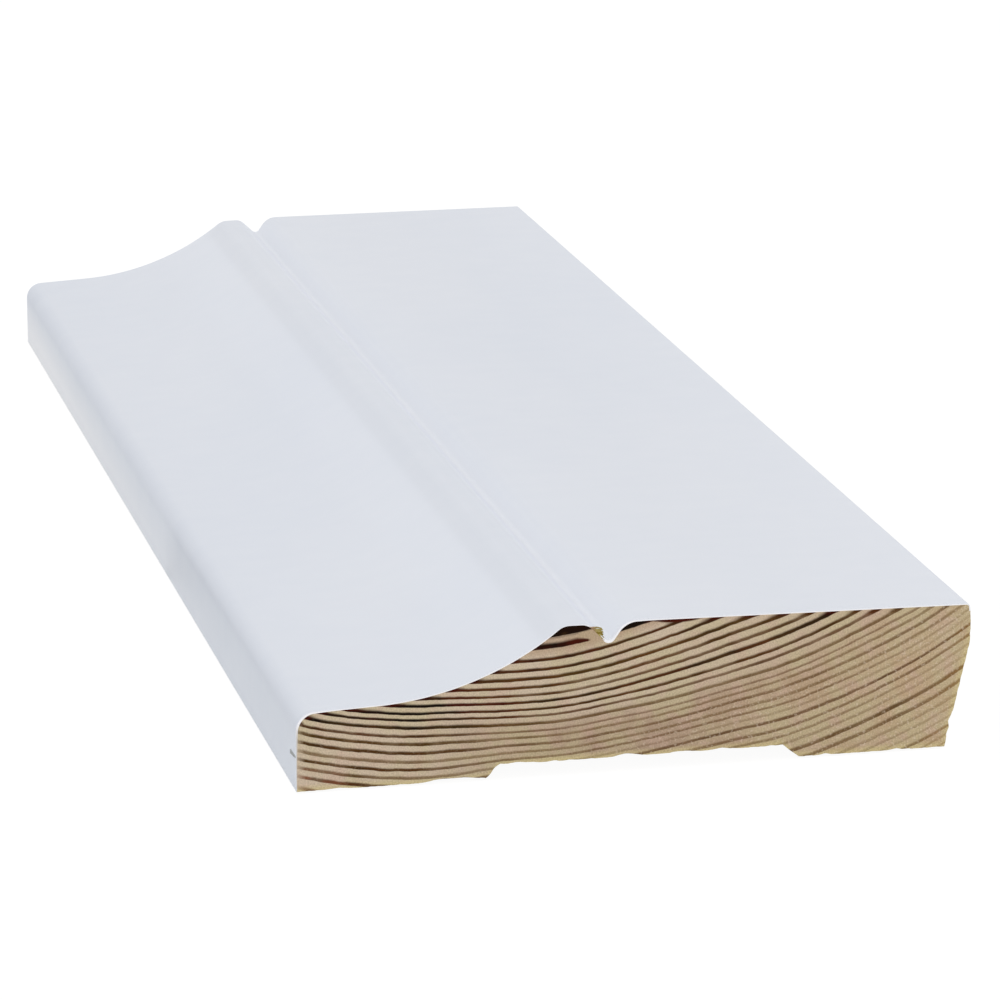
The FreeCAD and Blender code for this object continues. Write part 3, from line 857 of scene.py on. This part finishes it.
def straw():
    """Torn pine fibres: straw yellow, darker where they are crushed, and grey on the thin edge."""
    material, tree, shader, place = finish("straw", 0.2, 0.8)
    x = measured(tree, place)[0]
    crushed = ramp(tree, speckle(tree, place, 1500.0), 0.42, 0.62)
    tint = blend(tree, crushed, (0.46, 0.38, 0.15, 1), (0.27, 0.2, 0.035, 1))
    tint = blend(tree, ramp(tree, x, 42.3, 41.8), tint, (0.38, 0.25, 0.16, 1))
    tint = blend(tree, ramp(tree, x, 0.5, 0.3), tint, (0.44, 0.455, 0.45, 1))
    tree.links.new(tint, shader.inputs["Base Color"])
    relief(tree, shader, speckle(tree, place, 5000.0), 0.3, 0.03 * MM)
    return material


# The photographer's table, lamp and camera.

def looked_at(tree):
    """One for what the camera sees, straight or mirrored in a gloss, and nothing for other light."""
    path = put(tree, "LightPath").outputs
    return sums(tree, "MAXIMUM", path["Is Camera Ray"], path["Is Glossy Ray"])


def table():
    """A white table. To the camera it is near white already, and the board's shadow stays faint."""
    size = 4.0
    mesh = bpy.data.meshes.new("table")
    corners = [(-size, -size), (size, -size), (size, size), (-size, size)]
    mesh.from_pydata([(x, y, -0.3 * MM) for x, y in corners], [], [(0, 1, 2, 3)])
    top = bpy.data.objects.new("table", mesh)
    bpy.context.scene.collection.objects.link(top)
    material = bpy.data.materials.new("table_white")
    material.use_nodes = True
    tree = material.node_tree
    tree.nodes.clear()
    plain = put(tree, "BsdfDiffuse", {"Color": (0.66, 0.66, 0.66, 1)}).outputs[0]
    thin = put(tree, "BsdfDiffuse", {"Color": (0.1, 0.1, 0.1, 1)}).outputs[0]
    glow = put(tree, "Emission", {"Color": (1, 1, 1, 1), "Strength": 0.95}).outputs[0]
    bright = put(tree, "AddShader", {0: thin, 1: glow}).outputs[0]
    shown = put(tree, "MixShader", {0: looked_at(tree), 1: plain, 2: bright}).outputs[0]
    tree.links.new(shown, put(tree, "OutputMaterial").inputs["Surface"])
    mesh.materials.append(material)


def lamp(name, place, aim, size, power):
    """One soft panel, turned towards the board."""
    light = bpy.data.lights.new(name, "AREA")
    light.shape = "SQUARE"
    light.size = size
    light.energy = power
    holder = bpy.data.objects.new(name, light)
    holder.location = place
    holder.rotation_euler = (Vector(aim) - Vector(place)).to_track_quat("-Z", "Y").to_euler()
    bpy.context.scene.collection.objects.link(holder)


def lighting():
    """Even daylight from all round, with a soft panel in front."""
    world = bpy.data.worlds.new("daylight")
    world.use_nodes = True
    tree = world.node_tree
    tree.nodes.clear()
    soft = put(tree, "Background", {"Color": (1, 1, 1, 1), "Strength": 0.84}).outputs[0]
    white = put(tree, "Background", {"Color": (1, 1, 1, 1), "Strength": 1.0}).outputs[0]
    shown = put(tree, "MixShader", {0: looked_at(tree), 1: soft, 2: white}).outputs[0]
    tree.links.new(shown, put(tree, "OutputWorld").inputs["Surface"])
    bpy.context.scene.world = world
    lamp("front_panel", (-0.25, -2.4, 0.62), (0.0, -0.1, 0.01), 1.0, 11.0)


def photographer():
    """A long lens, low over the near end and a little to the thin edge's side."""
    lens = bpy.data.cameras.new("photographer")
    lens.lens = 344.3
    lens.sensor_width = 36.0
    lens.clip_start = 0.05
    lens.clip_end = 50.0
    camera = bpy.data.objects.new("photographer", lens)
    camera.location = (-0.164556, -1.528795, 0.228281)
    camera.rotation_euler = Euler([math.radians(turn) for turn in (81.5934, 2.8513, -6.9993)])
    bpy.context.scene.collection.objects.link(camera)
    bpy.context.scene.camera = camera


wood = timber()
film = paint_film()
for piece, slot in [(wood, "bare_pine"), (film, "primed_paint"), (torn_fibres(), "bare_pine")]:
    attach(piece, "root")
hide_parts("skirting_board")
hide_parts("skirting_board")

table()
lighting()
photographer()
bpy.context.scene.view_settings.view_transform = "Standard"
